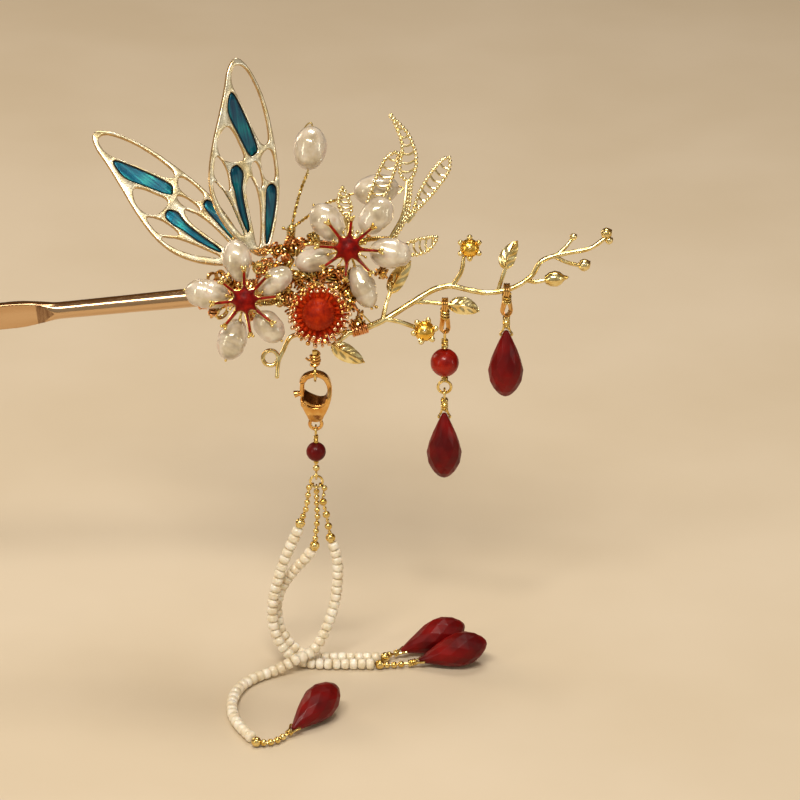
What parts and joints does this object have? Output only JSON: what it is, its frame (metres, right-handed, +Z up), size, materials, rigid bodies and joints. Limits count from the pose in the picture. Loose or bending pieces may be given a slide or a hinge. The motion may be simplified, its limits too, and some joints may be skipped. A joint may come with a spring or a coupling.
{
  "type": "hair stick",
  "caption": "Ornamental hair stick with a flat blade, pierced enamelled butterfly wings, pearl flowers, a red sunburst, a metal twig with red stone drops, and a seed-bead tassel on a clasp.",
  "frame": {"origin": "on the stick's axis at the neck, where the round rod turns into the flat blade that goes into the hair", "axes": "+X along the stick from the blade to the twig, +Z up, -Y towards the viewer and the front of the ornament"},
  "size_m": [0.1894, 0.0557, 0.1011],
  "materials": {
    "rose_gold": "polished rose-gold plating",
    "copper_wire": "bare copper wire in tight turns",
    "pale_gold": "pale gold plating on a cast alloy, satin",
    "yellow_gold": "bright yellow-gold plating",
    "teal_enamel": "translucent teal enamel over foil",
    "pearl": "white-cream nacre",
    "red_enamel": "red enamel on gold rays",
    "carnelian": "polished orange-red bead",
    "dark_red_glass": "opaque dark red glass, faceted",
    "ivory_seed_beads": "opaque ivory glass beads"
  },
  "bodies": {
    "pin": {"hair_stick": "rose_gold", "binding": "copper_wire", "armature": "yellow_gold", "wing_left": "pale_gold", "wing_right": "pale_gold", "wing_left_enamel": "teal_enamel", "wing_right_enamel": "teal_enamel", "pearl_left_1": "pearl", "pearl_left_2": "pearl", "pearl_left_3": "pearl", "pearl_left_4": "pearl", "pearl_left_5": "pearl", "pearl_right_1": "pearl", "pearl_right_2": "pearl", "pearl_right_3": "pearl", "pearl_right_4": "pearl", "pearl_right_5": "pearl", "pearl_top": "pearl", "pearl_side": "pearl", "star_left": "red_enamel", "star_right": "red_enamel", "burst": "red_enamel", "burst_bead": "carnelian", "filigree_fork": "pale_gold", "filigree_back": "pale_gold", "filigree_small": "pale_gold", "filigree_side": "pale_gold", "branch": "yellow_gold", "root_coil": "copper_wire", "clasp_eye": "yellow_gold", "clasp_body": "yellow_gold", "tassel_wire": "yellow_gold", "tassel_bead": "dark_red_glass", "tassel_ring": "yellow_gold", "head_left": "yellow_gold", "head_middle": "yellow_gold", "head_right": "yellow_gold", "strand_left": "ivory_seed_beads", "strand_middle": "ivory_seed_beads", "strand_right": "ivory_seed_beads", "end_left": "yellow_gold", "end_middle": "yellow_gold", "end_right": "yellow_gold", "end_drop_left": "dark_red_glass", "end_drop_middle": "dark_red_glass", "end_drop_right": "dark_red_glass"},
    "bead_link": {"link_wire": "yellow_gold", "link_bead": "carnelian"},
    "drop_left": {"drop_left_wire": "yellow_gold", "drop_left_stone": "dark_red_glass"},
    "drop_right": {"drop_right_wire": "yellow_gold", "drop_right_stone": "dark_red_glass"},
    "clasp_lever": {"clasp_lever": "yellow_gold"}
  },
  "joints": [
    {"name": "bead_link_swing", "type": "hinge", "parent": "pin", "child": "bead_link", "pos_m": [0.0658, 0.0005, 0.0012], "axis": [1, 0, 0], "range_deg": [-60, 60]},
    {"name": "drop_left_swing", "type": "hinge", "parent": "bead_link", "child": "drop_left", "pos_m": [0.0658, 0.0005, -0.0141], "axis": [0, 1, 0], "range_deg": [-50, 50]},
    {"name": "drop_right_swing", "type": "hinge", "parent": "pin", "child": "drop_right", "pos_m": [0.0761, 0.0015, 0.0032], "axis": [1, 0, 0], "range_deg": [-60, 60]},
    {"name": "clasp_lever_turn", "type": "hinge", "parent": "pin", "child": "clasp_lever", "pos_m": [0.0423, -0.0055, -0.0141], "axis": [0, 1, 0], "range_deg": [0, 22], "stiffness_Nm_per_rad": 0.00002, "springref_deg": -17.19}
  ]
}
